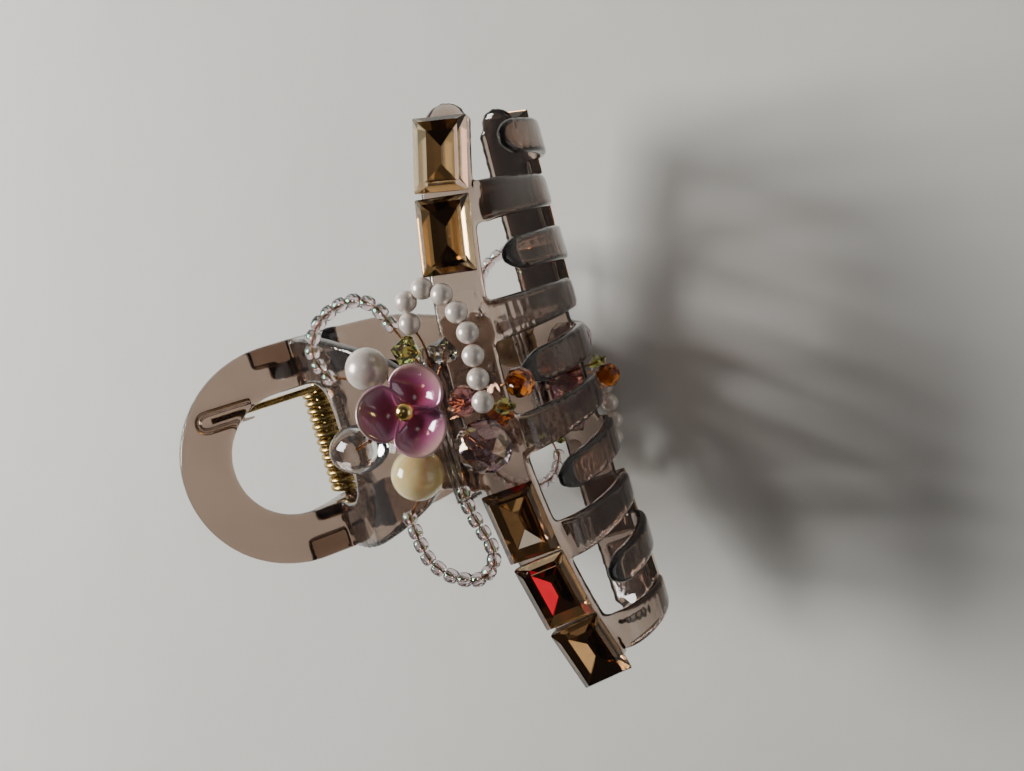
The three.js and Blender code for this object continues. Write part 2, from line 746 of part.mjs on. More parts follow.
const clip = new THREE.Group();
const frontJaw = jaw('front');
frontJaw.add(meshOf('spring_coil', coilGeometry(), 'brass'));
const backJaw = jaw('back');
backJaw.add(meshOf('spring_back_leg', backLegGeometry(), 'brass'));
backJaw.add(meshOf('hinge_pin', pinGeometry(), 'brass'));
backJaw.rotation.z = Math.PI;
clip.add(frontJaw, backJaw);
clip.rotation.x = -Math.PI / 2;

// The origin is in the middle of the clip's footprint, at its lowest point.
const resting = new THREE.Group();
resting.add(clip);
resting.updateMatrixWorld(true);
const box = new THREE.Box3().setFromObject(resting, true);
clip.position.set(-(box.min.x + box.max.x) / 2, -(box.min.y + box.max.y) / 2, -box.min.z);

export default resting;
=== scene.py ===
# %% [markdown]
# # A claw hair clip with stones and wired beads
# The clip is two identical plastic jaws on a sprung hinge. Each jaw carries foiled stones on its
# bar and a wired cluster of beads in front of its neck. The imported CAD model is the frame: it
# gives the hinge, the mouldings and the pin, and it moves the two bodies. This script builds the
# finished pieces on it, and places stones, beads and wires in the model's own millimetres.

# %% Load the frame
import json
import math

import bmesh
import bpy
from mathutils import Matrix, Vector


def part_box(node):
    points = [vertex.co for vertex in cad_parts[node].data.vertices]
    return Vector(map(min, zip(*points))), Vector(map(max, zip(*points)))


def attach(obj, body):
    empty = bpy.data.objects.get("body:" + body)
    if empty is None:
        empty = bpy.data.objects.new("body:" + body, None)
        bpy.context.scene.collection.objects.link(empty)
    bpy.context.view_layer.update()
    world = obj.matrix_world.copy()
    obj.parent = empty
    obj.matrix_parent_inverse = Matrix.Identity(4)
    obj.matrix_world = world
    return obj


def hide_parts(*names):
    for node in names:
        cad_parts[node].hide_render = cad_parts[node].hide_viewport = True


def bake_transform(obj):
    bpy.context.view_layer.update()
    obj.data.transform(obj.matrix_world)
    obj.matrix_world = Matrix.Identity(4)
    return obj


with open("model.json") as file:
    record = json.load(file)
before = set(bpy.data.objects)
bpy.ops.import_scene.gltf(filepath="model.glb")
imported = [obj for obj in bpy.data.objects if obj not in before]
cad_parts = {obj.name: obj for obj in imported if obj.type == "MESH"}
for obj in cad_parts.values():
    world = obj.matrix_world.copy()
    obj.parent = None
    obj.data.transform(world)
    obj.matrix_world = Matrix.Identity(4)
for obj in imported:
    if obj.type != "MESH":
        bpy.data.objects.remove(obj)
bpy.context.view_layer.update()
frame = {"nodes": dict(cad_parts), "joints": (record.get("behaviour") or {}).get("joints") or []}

# %% [markdown]
# ## Worn coordinates
# The clip is easiest to describe as it is worn, in millimetres: X along the hinge, Z up the
# handles, and the jaw facing -Y, with the hinge axis at the origin. One matrix lays this down in
# the frame, in metres. The second jaw is the first one turned half a turn about Z, so the same
# shapes serve both.

# %% Matrices for the two jaws
MM = 0.001
HINGE = Vector(frame["joints"][0]["pos_m"])
WORN = Matrix.Translation(HINGE) @ Matrix.Rotation(math.radians(-90), 4, "X") @ Matrix.Scale(MM, 4)
JAWS = {"front": WORN, "back": WORN @ Matrix.Rotation(math.pi, 4, "Z")}
BODIES = {"front": "front_jaw", "back": "back_jaw"}
collection = bpy.context.scene.collection
print("hinge at", tuple(round(v, 5) for v in HINGE))

# %% [markdown]
# ## Camera
# The clip lies on its back jaw and is seen from above, turned so that the hinge runs up the
# picture. The camera is placed relative to the hinge, with its own right, up and back directions.

# %% Camera
CAMERA_FROM_HINGE = Vector((0.02353, -0.12866, 0.19415))
CAMERA_RIGHT = Vector((-0.2836, -0.8924, -0.3509))
CAMERA_UP = Vector((0.9532, -0.2225, -0.2045))
SENSOR_WIDTH, FOCAL_LENGTH = 36.0, 36.365


def add_camera():
    data = bpy.data.cameras.new("camera")
    data.sensor_width = SENSOR_WIDTH
    data.lens = FOCAL_LENGTH
    camera = bpy.data.objects.new("camera", data)
    back = CAMERA_RIGHT.cross(CAMERA_UP)
    turn = Matrix((CAMERA_RIGHT, CAMERA_UP, back)).transposed().to_4x4()
    camera.matrix_world = Matrix.Translation(HINGE + CAMERA_FROM_HINGE) @ turn
    collection.objects.link(camera)
    bpy.context.scene.camera = camera
    return camera


camera = add_camera()
print("camera looks along", tuple(round(-v, 3) for v in camera.matrix_world.col[2][:3]))

# %% [markdown]
# ## A small language for materials
# A shader is a network of nodes. `Wire` wraps an output socket, so that sums, differences and
# products can be written as Python expressions, with the wire on the left. `Finish` is one
# material: its `node` method makes any node from its type, its settings and the values or wires
# of its sockets.

# %% Material helpers
class Wire:
    def __init__(self, finish, socket):
        self.finish = finish
        self.socket = socket

    def maths(self, operation, first, second=0.0):
        return self.finish.node("ShaderNodeMath", {"operation": operation}, {0: first, 1: second})

    def __add__(self, other):
        return self.maths("ADD", self, other)

    def __sub__(self, other):
        return self.maths("SUBTRACT", self, other)

    def __mul__(self, other):
        return self.maths("MULTIPLY", self, other)


class Finish:
    def __init__(self, name):
        self.material = bpy.data.materials.new(name)
        self.material.use_nodes = True
        self.tree = self.material.node_tree
        self.tree.nodes.clear()

    def node(self, kind, settings=None, sockets=None, out=0):
        node = self.tree.nodes.new(kind)
        for key, value in (settings or {}).items():
            if key == "stops":
                ramp = node.color_ramp.elements
                while len(ramp) < len(value):
                    ramp.new(1.0)
                for element, (place, colour) in zip(ramp, value):
                    element.position = place
                    element.color = (*colour, 1.0)
            else:
                setattr(node, key, value)
        for key, value in (sockets or {}).items():
            if isinstance(value, Wire):
                self.tree.links.new(value.socket, node.inputs[key])
            else:
                node.inputs[key].default_value = value
        return Wire(self, node.outputs[out])

    def coordinates(self):
        return self.node("ShaderNodeTexCoord", out="Object")

    def noise(self, scale, detail=2.0):
        return self.node("ShaderNodeTexNoise", {}, {
            "Vector": self.coordinates(), "Scale": scale, "Detail": detail})

    def ramp(self, factor, stops):
        return self.node("ShaderNodeValToRGB", {"stops": stops}, {0: factor})

    def bump(self, height, strength, distance):
        return self.node("ShaderNodeBump", {}, {
            "Height": height, "Strength": strength, "Distance": distance})

    def surface(self, absorb=None, **sockets):
        named = {key.replace("_", " "): value for key, value in sockets.items()}
        shader = self.node("ShaderNodeBsdfPrincipled", {}, named)
        output = self.tree.nodes.new("ShaderNodeOutputMaterial")
        self.tree.links.new(shader.socket, output.inputs["Surface"])
        if absorb:
            colour, density = absorb
            inside = self.node("ShaderNodeVolumeAbsorption", {}, {
                "Color": (*colour, 1.0), "Density": density})
            self.tree.links.new(inside.socket, output.inputs["Volume"])
        return self.material


# %% [markdown]
# ## Finishes
# The jaws are moulded in a clear plastic with a faint mauve-brown tint: flat walls let the
# light through and thick edges go dark, which refraction and a little absorption give by
# themselves. Absorption is written as a colour and a density. The beads are glass, pearl paint
# over a core, or metal. Each finish has a slow change of tone, and most have a fine bump or a
# varied gloss, because nothing moulded or pressed is perfectly even.

# %% Plastic and metals
SMOKE = ((0.446, 0.302, 0.194), 505.0)


def plastic_finish():
    finish = Finish("smoky_plastic")
    tone = finish.ramp(finish.noise(90.0, 3.0), [(0.3, (0.88, 0.81, 0.78)),
                                                 (0.7, (0.96, 0.89, 0.86))])
    wobble = finish.bump(finish.noise(160.0, 2.0), 0.12, 0.0006)
    return finish.surface(Base_Color=tone, Roughness=0.045, IOR=1.5, Transmission_Weight=0.98,
                          Normal=wobble, absorb=SMOKE)


def metal_finish(name, dark, bright, roughness):
    finish = Finish(name)
    tone = finish.ramp(finish.noise(700.0, 4.0), [(0.3, dark), (0.75, bright)])
    worn = finish.noise(1500.0, 3.0) * 0.2 + roughness
    return finish.surface(Base_Color=tone, Metallic=1.0, Roughness=worn)


PLASTIC = plastic_finish()
BRASS = metal_finish("spring_brass", (0.30, 0.20, 0.07), (0.62, 0.46, 0.18), 0.18)
GOLD = metal_finish("gold_bead", (0.58, 0.38, 0.10), (0.85, 0.62, 0.25), 0.10)
COPPER = metal_finish("copper_wire", (0.28, 0.12, 0.05), (0.55, 0.30, 0.16), 0.2)
SILVER = metal_finish("silver_wire", (0.30, 0.27, 0.25), (0.70, 0.66, 0.62), 0.2)


# %% Glass and pearl
def glass_finish(name, colour, roughness=0.03, ior=1.52, film=0.0, wobble=0.08, absorb=None):
    finish = Finish(name)
    low = tuple(0.85 * part for part in colour)
    tone = finish.ramp(finish.noise(400.0, 2.0), [(0.3, low), (0.7, colour)])
    sockets = {"Base_Color": tone, "Roughness": roughness, "IOR": ior, "Transmission_Weight": 1.0,
               "Thin_Film_Thickness": film, "Thin_Film_IOR": 1.8}
    if wobble:
        sockets["Normal"] = finish.bump(finish.noise(900.0, 1.0), wobble, 0.0002)
    return finish.surface(absorb=absorb, **sockets)


def pearl_finish():
    finish = Finish("pearl")
    tone = finish.ramp(finish.noise(500.0, 2.0), [(0.3, (0.60, 0.52, 0.46)),
                                                  (0.7, (0.74, 0.66, 0.60))])
    skin = finish.bump(finish.noise(2500.0, 2.0), 0.1, 0.0001)
    return finish.surface(Base_Color=tone, Roughness=0.28, Coat_Weight=0.6, Coat_Roughness=0.12,
                          Metallic=0.25, Subsurface_Weight=0.1, Subsurface_Scale=0.001, Normal=skin)


def milky_finish():
    finish = Finish("milky_yellow")
    tone = finish.ramp(finish.noise(250.0, 2.0), [(0.3, (0.76, 0.60, 0.26)),
                                                  (0.7, (0.88, 0.76, 0.42))])
    return finish.surface(Base_Color=tone, Roughness=0.12, Subsurface_Weight=0.5,
                          Subsurface_Scale=0.004, Transmission_Weight=0.35, Coat_Weight=0.5)


def foil_finish():
    finish = Finish("champagne_foil_painted_light")
    facet = finish.node("ShaderNodeAttribute", {"attribute_name": "facet"}, out="Fac")
    # The foil's colour is painted light and shade by facet side, from painted shade to a painted
    # highlight and a painted red flash.
    tone = finish.ramp(facet, [(0.0, (0.12, 0.07, 0.03)), (0.35, (0.40, 0.23, 0.11)),
                               (0.6, (0.72, 0.50, 0.26)), (0.82, (0.90, 0.80, 0.60)),
                               (0.97, (0.65, 0.01, 0.03))])
    # The emission is a painted glow on the paler facets and the red one.
    flash = finish.ramp(facet, [(0.25, (0.0, 0.0, 0.0)), (0.60, (0.060, 0.036, 0.014)),
                                (0.82, (0.26, 0.22, 0.15)), (0.90, (0.42, 0.39, 0.33)),
                                (0.97, (0.30, 0.0, 0.010))])
    grain = finish.noise(900.0, 2.0) * 0.06 + 0.04
    return finish.surface(Base_Color=tone, Metallic=1.0, Roughness=grain, Emission_Color=flash,
                          Emission_Strength=1.0)


PEARL = pearl_finish()
MILKY = milky_finish()
FOIL = foil_finish()
STONE_GLASS = glass_finish("stone_glass", (0.90, 0.80, 0.66), roughness=0.0, ior=1.55, wobble=0.0)
CLEAR = glass_finish("clear_glass", (0.96, 0.96, 0.94))
PURPLE = glass_finish("purple_glass", (0.82, 0.72, 0.79), film=110.0,
                      absorb=((0.56, 0.42, 0.54), 90.0))
ROSE = glass_finish("rose_glass", (0.80, 0.42, 0.45), film=300.0)
GREEN = glass_finish("green_glass", (0.78, 0.88, 0.25), ior=1.56)
AMBER = glass_finish("amber_glass", (0.85, 0.40, 0.06), ior=1.56,
                     absorb=((0.75, 0.35, 0.05), 260.0))
SEED = glass_finish("seed_glass", (0.90, 0.82, 0.79), film=380.0, wobble=0.0)


def petal_finish():
    finish = Finish("petal")
    reach = finish.node("ShaderNodeAttribute", {"attribute_name": "reach"}, out="Fac")
    cloud = finish.noise(220.0, 2.0) * 0.35 - 0.175
    tone = finish.ramp(reach + cloud, [(0.0, (0.46, 0.06, 0.12)), (0.3, (0.48, 0.11, 0.26)),
                                       (0.6, (0.44, 0.18, 0.27)), (0.95, (0.46, 0.28, 0.25))])
    return finish.surface(Base_Color=tone, Roughness=0.12, Transmission_Weight=0.25,
                          Coat_Weight=1.0, Coat_Roughness=0.04, Thin_Film_Thickness=520.0,
                          Thin_Film_IOR=1.7, Specular_IOR_Level=0.8)


PETAL = petal_finish()
print("materials", len(bpy.data.materials))

# %% [markdown]
# ## Making a piece
# Every piece is one mesh in the frame, with its object at the origin. `finish_piece` lays a mesh
# given in worn millimetres down in the frame, gives it its material slots, lets it ride on its
# jaw, and hides the CAD nodes it stands for.

# %% Piece helpers
def shade(mesh, smooth):
    mesh.polygons.foreach_set("use_smooth", [smooth] * len(mesh.polygons))
    mesh.update()


def new_object(name, mesh, materials):
    piece = bpy.data.objects.new(name, mesh)
    collection.objects.link(piece)
    if not mesh.materials:
        for material in materials:
            mesh.materials.append(material)
    return piece


def finish_piece(name, mesh, jaw, materials, slot, nodes, smooth=True, laid=False):
    if not laid:
        mesh.transform(JAWS[jaw])
    shade(mesh, smooth)
    piece = new_object(name, mesh, materials)
    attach(piece, BODIES[jaw])
    if nodes:
        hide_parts(*nodes)
    return piece


def from_rings(rings):
    """A closed skin through rings of points. Each end is a flat cap, or a pole for one point."""
    bm = bmesh.new()
    rows = [[bm.verts.new(point) for point in ring] for ring in rings]
    for lower, upper in zip(rows, rows[1:]):
        count = max(len(lower), len(upper))
        for side in range(count):
            other = (side + 1) % count
            if len(lower) == 1:
                bm.faces.new((lower[0], upper[other], upper[side]))
            elif len(upper) == 1:
                bm.faces.new((lower[side], lower[other], upper[0]))
            else:
                bm.faces.new((lower[side], lower[other], upper[other], upper[side]))
    if len(rows[0]) > 2:
        bm.faces.new(rows[0][::-1])
    if len(rows[-1]) > 2:
        bm.faces.new(rows[-1])
    bmesh.ops.recalc_face_normals(bm, faces=bm.faces)
    return bm


def to_mesh(bm, name):
    mesh = bpy.data.meshes.new(name)
    bm.to_mesh(mesh)
    bm.free()
    return mesh


def evaluated_mesh(piece):
    """The mesh of an object with its modifiers applied. The object itself is removed."""
    graph = bpy.context.evaluated_depsgraph_get()
    mesh = bpy.data.meshes.new_from_object(piece.evaluated_get(graph))
    old = piece.data
    bpy.data.objects.remove(piece)
    if old.users == 0:
        bpy.data.meshes.remove(old)
    return mesh


# %% [markdown]
# ## The jaw moulding
# On the real clip the handle, neck, bar and teeth of a jaw are one smooth moulding. The CAD
# model keeps them apart, so here copies of its nodes are joined with small blocks across their
# gaps, and a voxel remesh fuses them into one skin. Smoothing then rounds the edges the way a
# mould does. A remesh was chosen because the result is closed, even and soft at every corner.

# %% Shape of the bar
BAR_HALF, BAR_REACH, BAR_DROP, BAR_BOW, BAR_DROOP = 53.3, 24.4, 49.0, 9.4, 4.6
BAR_HEIGHT, BAR_THICK = 10.0, 2.4
TILT = math.radians(12)
BAR_OUT = Vector((0, -math.cos(TILT), -math.sin(TILT)))
BAR_UP = Vector((0, -math.sin(TILT), math.cos(TILT)))
TOOTH_PITCH = 10.7
TOOTH_PLACES = (-4.5, -2.5, -0.5, 1.5, 3.5)
# Half sizes of the bridging blocks, along the bar, up its face and through it.
NECK_BRIDGE, TOOTH_BRIDGE = (13.4, 1.6, 1.1), (3.6, 1.6, 0.95)
BRIDGE_FROM_MIDDLE, NECK_BRIDGE_DEPTH = BAR_HEIGHT / 2 + 0.2, 1.3


def bar_face(x):
    share = (x / BAR_HALF) ** 2
    return Vector((x, -BAR_REACH + BAR_BOW * share, -BAR_DROP - BAR_DROOP * share))


def block(middle, along, up, out, half_sizes):
    """A box with its own axes, as a ring-built skin."""
    a, b, c = half_sizes
    rings = []
    for depth in (-c, c):
        rings.append([middle + along * (sx * a) + up * (sy * b) + out * depth
                      for sx, sy in ((-1, -1), (1, -1), (1, 1), (-1, 1))])
    return from_rings(rings)


def bridges():
    """Blocks across the gaps between neck and bar, and between bar and teeth."""
    across = Vector((1, 0, 0))
    above = bar_face(0) + BAR_UP * BRIDGE_FROM_MIDDLE - BAR_OUT * NECK_BRIDGE_DEPTH
    skins = [block(above, across, BAR_UP, BAR_OUT, NECK_BRIDGE)]
    for place in TOOTH_PLACES:
        x = place * TOOTH_PITCH
        below = bar_face(x) - BAR_UP * BRIDGE_FROM_MIDDLE - BAR_OUT * (BAR_THICK / 2)
        skins.append(block(below, across, BAR_UP, BAR_OUT, TOOTH_BRIDGE))
    return skins


# %% Fuse the moulding
VOXEL, SOFTENING_STEPS = 0.00042, 14
MOULDED = ["frame", "bar"] + [f"tooth_{k}" for k in range(1, 6)]


def moulding_mesh(jaw):
    bm = bmesh.new()
    for part in MOULDED:
        bm.from_mesh(frame["nodes"][f"{jaw}_{part}"].data)
    bmesh.ops.remove_doubles(bm, verts=bm.verts, dist=1e-6)
    for skin in bridges():
        mesh = to_mesh(skin, "bridge")
        mesh.transform(JAWS[jaw])
        bm.from_mesh(mesh)
        bpy.data.meshes.remove(mesh)
    rough = new_object("rough", to_mesh(bm, "rough"), [])
    remesh = rough.modifiers.new("fuse", "REMESH")
    remesh.mode = "VOXEL"
    remesh.voxel_size = VOXEL
    soften = rough.modifiers.new("soften", "SMOOTH")
    soften.factor = 0.5
    soften.iterations = SOFTENING_STEPS
    return evaluated_mesh(rough)


for jaw in JAWS:
    mesh = moulding_mesh(jaw)
    nodes = [f"{jaw}_{part}" for part in MOULDED]
    finish_piece(f"{jaw}_moulding", mesh, jaw, [PLASTIC], "plastic", nodes, laid=True)
    print(jaw, "moulding faces", len(mesh.polygons))

# %% [markdown]
# ## Foiled stones
# Each stone is a rectangular glass cut with a flat table, a narrow bevelled crown and a pointed
# underside in two steps that carries the champagne foil. The foil facets are part of the glass
# body, so they are seen through the table. Each side of the foil has a colour of its own, which
# is painted light and shade: painted shade on some sides, gold on others, a painted near-white
# highlight and a painted red flash. A real foil flashes when a facet catches a bright window. A
# faint emission on the paler facets and the red one is a painted glow that stands in for that,
# because it holds in any light. An opaque cup closes the sides and the back.

# %% Stone shapes
STONE_LENGTH, STONE_HEIGHT, STONE_THICK, STONE_BED, STONE_GAP = 14.0, 10.0, 4.2, 0.6, 0.7
GIRDLE = STONE_BED + 2.1
STEP_LENGTH, STEP_HEIGHT = 0.66 * STONE_LENGTH / 2, 0.52 * STONE_HEIGHT / 2
KEEL_END, CROWN_BEVEL = 1.6, 1.35


def rectangle(half_length, half_height, out, chop=0.0):
    """Corner points of a rectangle, with its corners cut off by chop."""
    a, b, c = half_length, half_height, chop
    return [Vector((x, y, out)) for x, y in (
        (a, b - c), (a - c, b), (c - a, b), (-a, b - c),
        (-a, c - b), (c - a, -b), (a - c, -b), (a, c - b))]


def facet_side(face):
    """0 to 3 for a facet that leans to +Y, -Y, +X or -X, and 4 to 7 for the inner step's."""
    lean = face.normal
    inner = face.calc_center_median().z < STONE_BED + 1.0
    if abs(lean.y) > abs(lean.x):
        side = 0 if lean.y > 0 else 1
    else:
        side = 2 if lean.x > 0 else 3
    return side + (4 if inner else 0)


def stone_mesh(painted_light_by_side):
    """Glass body and cup of one stone, lying flat. The argument gives each side of the foil its painted
    light and shade.
    """
    half_l, half_h = STONE_LENGTH / 2, STONE_HEIGHT / 2
    near = KEEL_END - 0.2
    keel = [Vector((x, 0.0, STONE_BED + 0.15)) for x in (
        KEEL_END, near, -near, -KEEL_END, -KEEL_END, -near, near, KEEL_END)]
    rings = [
        keel,
        rectangle(STEP_LENGTH, STEP_HEIGHT, STONE_BED + 1.05, 0.12),
        rectangle(half_l - 0.3, half_h - 0.3, GIRDLE, 0.12),
        rectangle(half_l, half_h, GIRDLE + 0.12, 0.18),
        rectangle(half_l, half_h, GIRDLE + 0.45, 0.18),
        rectangle(half_l - CROWN_BEVEL, half_h - CROWN_BEVEL, STONE_BED + STONE_THICK, 0.15),
    ]
    bm = from_rings(rings)
    bmesh.ops.remove_doubles(bm, verts=bm.verts, dist=0.01)
    bmesh.ops.recalc_face_normals(bm, faces=bm.faces)
    facet = bm.faces.layers.float.new("painted_facet_light_face")
    for face in bm.faces:
        if face.normal.z < -0.05 and face.calc_center_median().z < GIRDLE + 0.1:
            face.material_index = 1
            # Each foil facet takes its side's painted light and shade.
            face[facet] = painted_light_by_side[facet_side(face)]
    cup_rings = [
        rectangle(half_l * 0.9, half_h * 0.9, STONE_BED, 0.3),
        rectangle(half_l - 0.1, half_h - 0.1, GIRDLE - 0.3, 0.2),
        rectangle(half_l - 0.1, half_h - 0.1, GIRDLE + 0.02, 0.2),
        rectangle(half_l - 0.32, half_h - 0.32, GIRDLE - 0.06, 0.2),
        rectangle(STEP_LENGTH, STEP_HEIGHT, STONE_BED + 0.98, 0.12),
        rectangle(KEEL_END, 0.2, STONE_BED + 0.08, 0.1),
    ]
    cup = to_mesh(from_rings(cup_rings), "cup")
    for polygon in cup.polygons:
        polygon.material_index = 2
    bm.from_mesh(cup)
    bpy.data.meshes.remove(cup)
    mesh = to_mesh(bm, "stone")
    by_face = mesh.attributes["painted_facet_light_face"]
    values = [item.value for item in by_face.data]
    mesh.attributes.remove(by_face)
    corner = mesh.attributes.new("facet", "FLOAT", "CORNER")
    for polygon in mesh.polygons:
        for loop in polygon.loop_indices:
            corner.data[loop].value = values[polygon.index]
    return mesh


def along_bar(start, distance):
    """x of the point that lies a distance along the bar's face from start, walking outwards."""
    step = math.copysign(0.05, start)
    x, walked = start, 0.0
    while walked < distance:
        walked += (bar_face(x + step) - bar_face(x)).length
        x += step
    return x


def on_bar(x):
    """Matrix that stands a flat stone on the bar's face at x."""
    along = (bar_face(x + 0.1) - bar_face(x - 0.1)).normalized()
    out = (BAR_OUT - along * BAR_OUT.dot(along)).normalized()
    up = out.cross(along).normalized()
    turn = Matrix((along, up, out)).transposed().to_4x4()
    return Matrix.Translation(bar_face(x)) @ turn


# %% Place the stones
# Where each row starts on the bar, and how many stones it has.
ROWS = {"short_row": (25.8, 2), "long_row": (-13.4, 3)}
# Painted light and shade for each side that facet_side gives: painted shade at 0, gold,
# a painted near-white highlight at 0.82 and a painted red flash at 0.97.
FACET_PAINTED_LIGHT = {
    ("short_row", 1): (0.62, 0.70, 0.15, 0.20, 0.28, 0.55, 0.10, 0.15),
    ("short_row", 2): (0.80, 0.90, 0.10, 0.45, 0.42, 0.66, 0.05, 0.50),
    ("long_row", 1): (0.35, 0.15, 0.10, 0.40, 0.05, 0.20, 0.45, 0.88),
    ("long_row", 2): (0.20, 0.35, 0.80, 0.50, 0.97, 0.25, 0.10, 0.20),
    ("long_row", 3): (0.30, 0.20, 0.40, 0.10, 0.48, 0.15, 0.30, 0.10),
}


def cup_finish():
    finish = Finish("stone_cup")
    tone = finish.ramp(finish.noise(600.0, 3.0), [(0.3, (0.030, 0.018, 0.010)),
                                                  (0.7, (0.070, 0.042, 0.025))])
    return finish.surface(Base_Color=tone, Metallic=0.2, Roughness=0.25)


CUP = cup_finish()
for jaw in JAWS:
    for row, (start, count) in ROWS.items():
        for k in range(count):
            x = along_bar(start, STONE_LENGTH / 2 + k * (STONE_LENGTH + STONE_GAP))
            # Each stone has its own painted light and shade on its foil facets.
            mesh = stone_mesh(FACET_PAINTED_LIGHT[row, k + 1])
            mesh.transform(on_bar(x))
            finish_piece(f"{jaw}_gem_{row}_{k + 1}", mesh, jaw, [STONE_GLASS, FOIL, CUP],
                         "foiled_stone", [f"{jaw}_stone_{row}_{k + 1}"], smooth=False)
print("stones", sum(count for _, count in ROWS.values()) * len(JAWS))

# %% [markdown]
# ## The flower
# Three thin cupped petals overlap round a gold bead. Each petal is a shallow bowl, a little
# pinched towards the middle of the flower. The bowl is a grid in polar coordinates, thickened
# by Solidify, and an attribute holds how far each point is from its petal's root, for the
# colour.

# %% Flower
FLOWER_PLACE = Vector((5.4, -35.4, -40.1))
FLOWER_FACING = Vector((0.12, -0.93, -0.34)).normalized()
PETAL_RADIUS, PETAL_OFFSET, PETAL_LEAN, PETAL_WALL = 5.1, 4.3, math.radians(14), 0.7
EYE_HEIGHT = 4.3


def petal_skin():
    """One petal with its root at the origin and its tip towards +Y, rims forward along +Z."""
    bm = bmesh.new()
    reach = bm.verts.layers.float.new("reach")
    lean = Matrix.Rotation(PETAL_LEAN, 4, "X")
    rings, sides = 9, 40
    middle = None
    previous = None
    for ring in range(rings + 1):
        share = ring / rings
        row = []
        for side in range(sides if ring else 1):
            angle = 2 * math.pi * side / sides
            to_root = max(0.0, -math.sin(angle))
            radius = PETAL_RADIUS * share
            narrow = 1 - 0.5 * to_root * share
            lift = 2.5 * share ** 2 + 0.3 * share ** 3 * math.cos(3 * angle)
            point = Vector((radius * math.cos(angle) * narrow,
                            radius * math.sin(angle) * (1 - 0.12 * to_root), lift + 0.35))
            point = lean @ point + Vector((0, PETAL_OFFSET, 0.2))
            vert = bm.verts.new(point)
            vert[reach] = min(1.0, max(0.0, share * (0.55 + 0.45 * math.sin(angle))))
            row.append(vert)
        if ring == 1:
            for side in range(sides):
                bm.faces.new((middle, row[side], row[(side + 1) % sides]))
        elif ring > 1:
            for side in range(sides):
                other = (side + 1) % sides
                bm.faces.new((previous[side], row[side], row[other], previous[other]))
        if ring == 0:
            middle = row[0]
        previous = row
    bmesh.ops.recalc_face_normals(bm, faces=bm.faces)
    return bm


def flower_mesh():
    bm = bmesh.new()
    for petal in range(3):
        skin = to_mesh(petal_skin(), "petal")
        skin.transform(Matrix.Rotation(petal * 2 * math.pi / 3, 4, "Z"))
        bm.from_mesh(skin)
        bpy.data.meshes.remove(skin)
    rough = new_object("rough", to_mesh(bm, "flower"), [])
    wall = rough.modifiers.new("wall", "SOLIDIFY")
    wall.thickness = PETAL_WALL
    wall.offset = 0.0
    finer = rough.modifiers.new("finer", "SUBSURF")
    finer.levels = finer.render_levels = 1
    mesh = evaluated_mesh(rough)
    turn = Vector((0, 0, 1)).rotation_difference(FLOWER_FACING).to_matrix().to_4x4()
    mesh.transform(Matrix.Translation(FLOWER_PLACE) @ turn)
    return mesh


for jaw in JAWS:
    flower = finish_piece(f"{jaw}_petals", flower_mesh(), jaw, [PETAL], "petal", [f"{jaw}_flower"])
print("petal faces", len(flower.data.polygons))

# %% [markdown]
# ## Round and faceted beads
# A round bead is built from circles, with a small dimple at each end where the wire goes in.
# A faceted bead is built from a few rings of points, each ring turned half a step from the last,
# so that its facets are triangles, as on pressed or cut glass.

# %% Bead shapes
def circle(width, height, sides, turn=0.0):
    """A ring of points across a bead, at a height along its hole."""
    return [(width * math.cos(2 * math.pi * c / sides + turn),
             width * math.sin(2 * math.pi * c / sides + turn), height) for c in range(sides)]


def threaded_bead(bm, place, radii, axis):
    """Turn a bead of unit size so that its hole lies along axis, then size and place it."""
    mesh = to_mesh(bm, "bead")
    turn = Vector((0, 0, 1)).rotation_difference(Vector(axis).normalized()).to_matrix().to_4x4()
    mesh.transform(turn)
    mesh.transform(Matrix.Diagonal((*radii, 1.0)))
    mesh.transform(Matrix.Translation(place))
    return mesh


def round_bead(place, radii, axis, columns=40, rows=22):
    """A ball with a dimple at each end. hole is the angle of the dimple's rim from the pole."""
    hole, dimple = 0.12, 0.93
    rings = [[(0.0, 0.0, dimple)]]
    for row in range(rows + 1):
        angle = hole + (math.pi - 2 * hole) * row / rows
        rings.append(circle(math.sin(angle), math.cos(angle), columns))
    rings.append([(0.0, 0.0, -dimple)])
    return threaded_bead(from_rings(rings), place, radii, axis)


def cut_bead(place, radii, axis, profile, sides):
    """A faceted bead. profile lists (width, height) from one end to the other."""
    rings = []
    for row, (width, height) in enumerate(profile):
        if width == 0:
            rings.append([(0.0, 0.0, height)])
            continue
        rings.append(circle(width, height, sides, math.pi * (row % 2) / sides))
    bm = bmesh.new()
    rows = [[bm.verts.new(point) for point in ring] for ring in rings]
    for row, (lower, upper) in enumerate(zip(rows, rows[1:])):
        for c in range(sides):
            d = (c + 1) % sides
            if len(lower) == 1:
                bm.faces.new((lower[0], upper[c], upper[d]))
            elif len(upper) == 1:
                bm.faces.new((lower[c], lower[d], upper[0]))
            else:
                tip, base = (upper[d], lower[c]) if row % 2 else (upper[c], lower[d])
                bm.faces.new((lower[c], lower[d], tip))
                bm.faces.new((base, upper[d], upper[c]))
    bmesh.ops.recalc_face_normals(bm, faces=bm.faces)
    return threaded_bead(bm, place, radii, axis)


BICONE = [(0.0, -1.0), (0.24, -0.98), (0.98, 0.0), (0.24, 0.98), (0.0, 1.0)]
ROUND_CUT = [(0.0, -1.0), (0.42, -0.93), (0.80, -0.60), (0.99, -0.12), (0.99, 0.16), (0.80, 0.60),
             (0.42, 0.93), (0.0, 1.0)]


